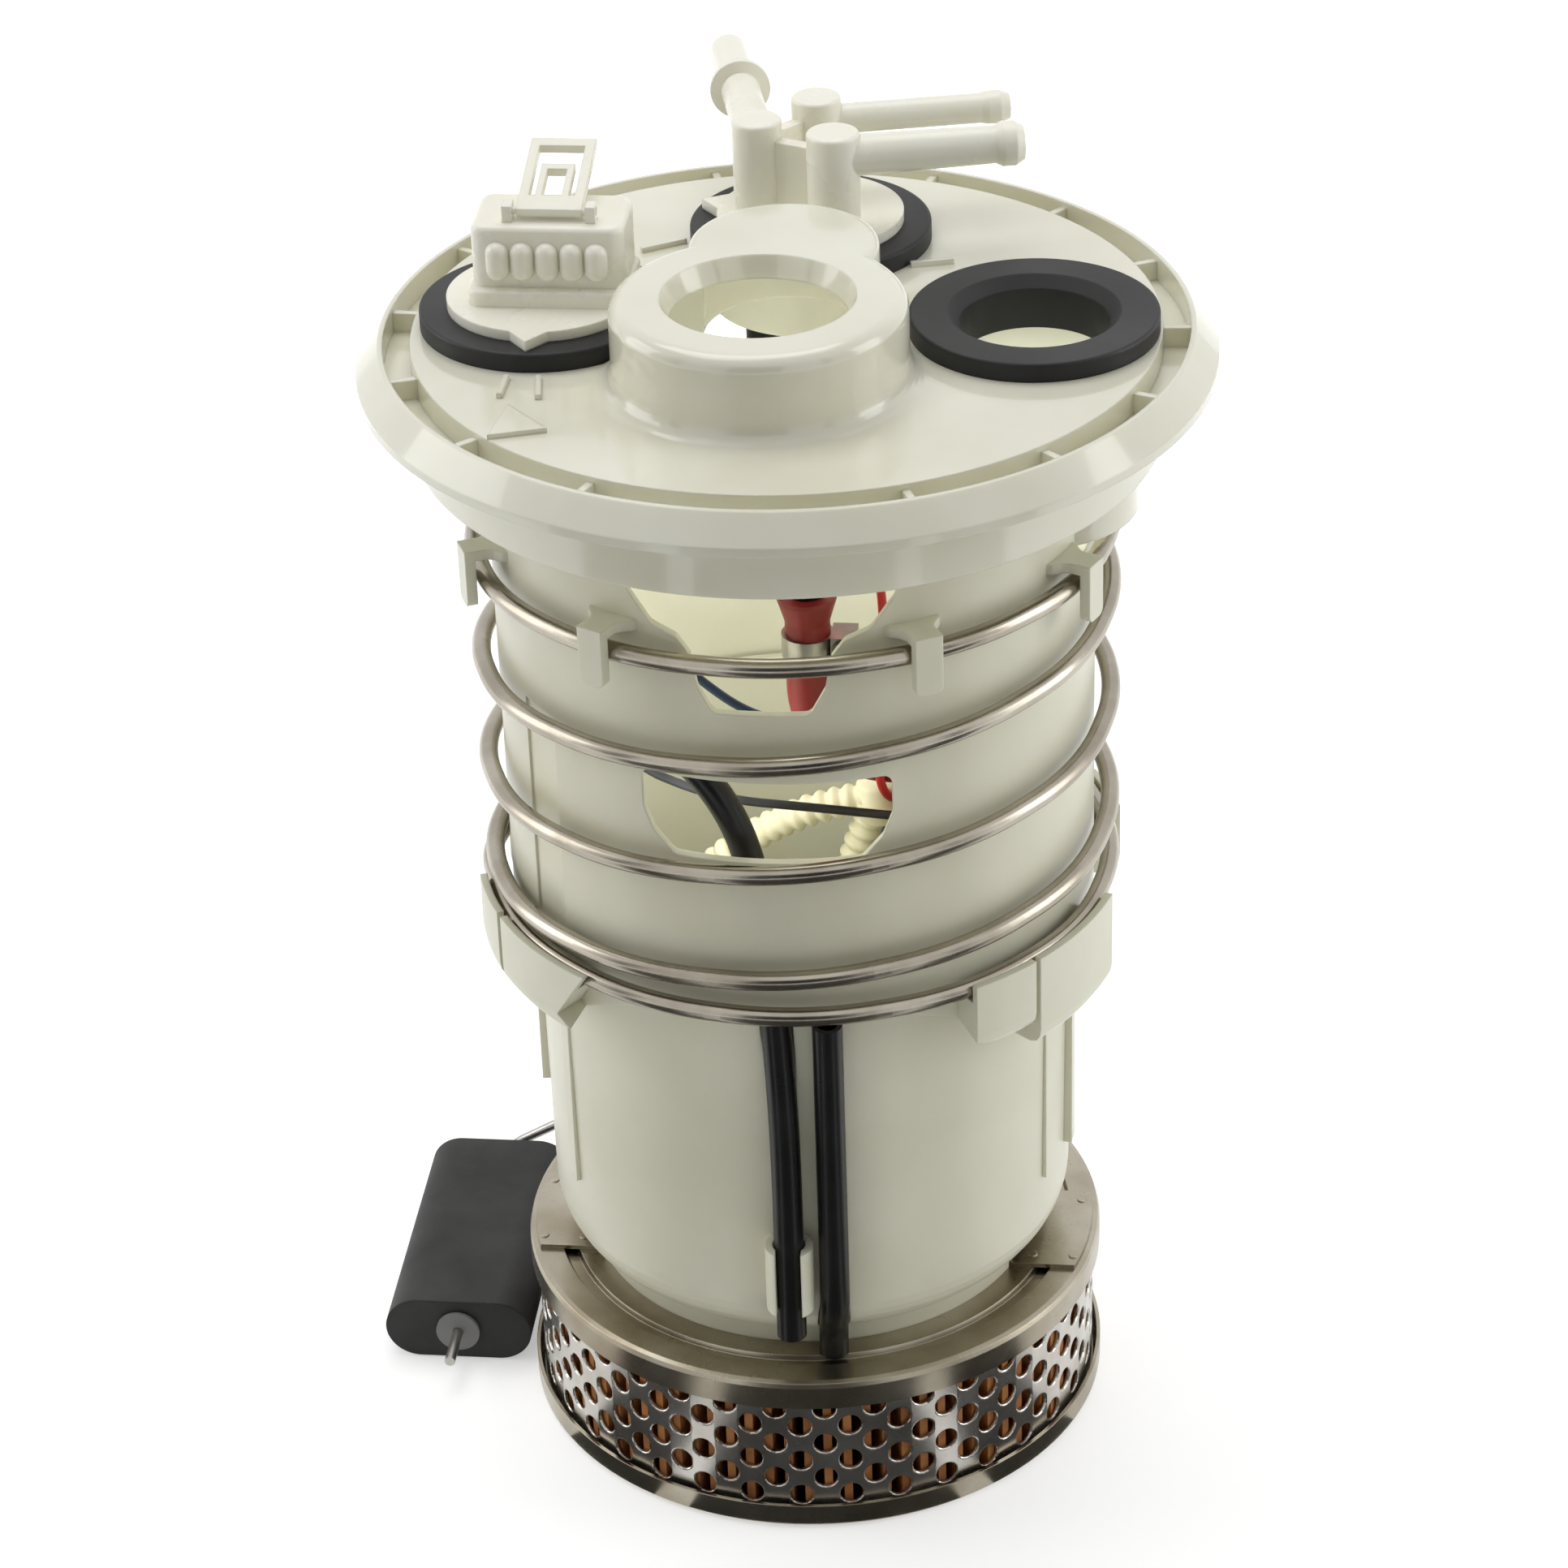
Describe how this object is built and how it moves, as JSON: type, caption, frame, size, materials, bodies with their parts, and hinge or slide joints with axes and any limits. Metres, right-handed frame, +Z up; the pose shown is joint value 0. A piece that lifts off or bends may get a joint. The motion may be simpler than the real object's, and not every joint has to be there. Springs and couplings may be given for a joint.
{
  "type": "fuel pump module",
  "caption": "In-tank fuel pump module: round flanged cover with ports, windowed canister wound with a steel coil, reservoir cup, perforated strainer and side float.",
  "frame": {"origin": "centre of the underside of the round strainer, on the axis of canister and strainer", "axes": "+Z up along the canister towards the flange, -Y towards the side with the two outside hoses, +X towards the empty grommet"},
  "size_m": [0.1854, 0.1791, 0.2883],
  "materials": {
    "tinned_steel": "satin tinned sheet, stamped, faintly stained",
    "filter_paper": "matt resin-treated pleated paper",
    "core_plastic": "matt",
    "ivory_plastic": "satin moulded acetal, aged",
    "ivory_cover": "satin moulded acetal, aged, lightly soiled",
    "fitting_plastic": "satin moulded acetal",
    "black_rubber": "matt moulded rubber",
    "grommet_rubber": "matt moulded rubber with a faint bloom",
    "hose_black": "satin extruded rubber",
    "hose_red": "matt silicone hose",
    "clamp_steel": "zinc plated",
    "coil_steel": "drawn stainless tube",
    "terminal_brass": "tinned brass",
    "pump_steel": "drawn steel case",
    "pump_plastic": "matt moulded plastic",
    "magnet_grey": "matt ferrite",
    "rotor_copper": "wound copper and steel",
    "tee_plastic": "satin corrugated polyamide",
    "wire_red": "satin insulation",
    "wire_black": "satin insulation",
    "wire_blue": "satin insulation",
    "sender_plastic": "satin moulded plastic",
    "card_ceramic": "matt ceramic with printed tracks",
    "arm_steel": "drawn wire",
    "float_black": "matt closed-cell nitrile",
    "retainer_grey": "matt"
  },
  "bodies": {
    "base": {"filter_bottom_pan": "tinned_steel", "filter_top_plate": "tinned_steel", "filter_screen": "tinned_steel", "filter_pleats": "filter_paper", "filter_core": "core_plastic", "bracket_right": "tinned_steel", "bracket_left": "tinned_steel", "reservoir_cup": "ivory_plastic", "neck_seal": "black_rubber", "vent_hose": "hose_black", "standpipe_hose": "hose_black", "feed_tube": "hose_black", "red_hose": "hose_red", "hose_clamp": "clamp_steel", "clamp_screw": "clamp_steel", "canister": "ivory_plastic", "flange_cover": "ivory_cover", "spare_grommet": "grommet_rubber", "connector_grommet": "grommet_rubber", "port_grommet": "grommet_rubber", "connector_housing": "fitting_plastic", "connector_terminals": "terminal_brass", "port_fitting": "fitting_plastic", "coil_tube": "coil_steel", "pump_case": "pump_steel", "pump_end_cap": "pump_plastic", "pump_inlet_cap": "pump_plastic", "pump_magnets": "magnet_grey", "pump_isolator": "black_rubber", "convoluted_tube": "tee_plastic", "jet_pump": "core_plastic", "red_wire": "wire_red", "black_wire": "wire_black", "blue_wire": "wire_blue", "sender_body": "sender_plastic", "resistor_card": "card_ceramic"},
    "float_lever": {"wiper_carrier": "sender_plastic", "float_arm": "arm_steel", "float": "float_black", "float_retainer": "retainer_grey"},
    "latch": {"connector_latch": "fitting_plastic"},
    "pump_rotor": {"armature": "rotor_copper", "impeller": "pump_plastic"}
  },
  "joints": [
    {"name": "float_pivot", "type": "hinge", "parent": "base", "child": "float_lever", "pos_m": [0.008, 0.0635, 0.0606], "axis": [0, 1, 0], "range_deg": [0, 55]},
    {"name": "latch_hinge", "type": "hinge", "parent": "base", "child": "latch", "pos_m": [-0.04665, -0.0015, 0.2824], "axis": [1, 0, 0], "range_deg": [0, 8], "stiffness_Nm_per_rad": 0.05},
    {"name": "rotor_spin", "type": "hinge", "parent": "base", "child": "pump_rotor", "pos_m": [0.032, 0.008, 0.09], "axis": [0, 0, 1], "continuous": true}
  ]
}
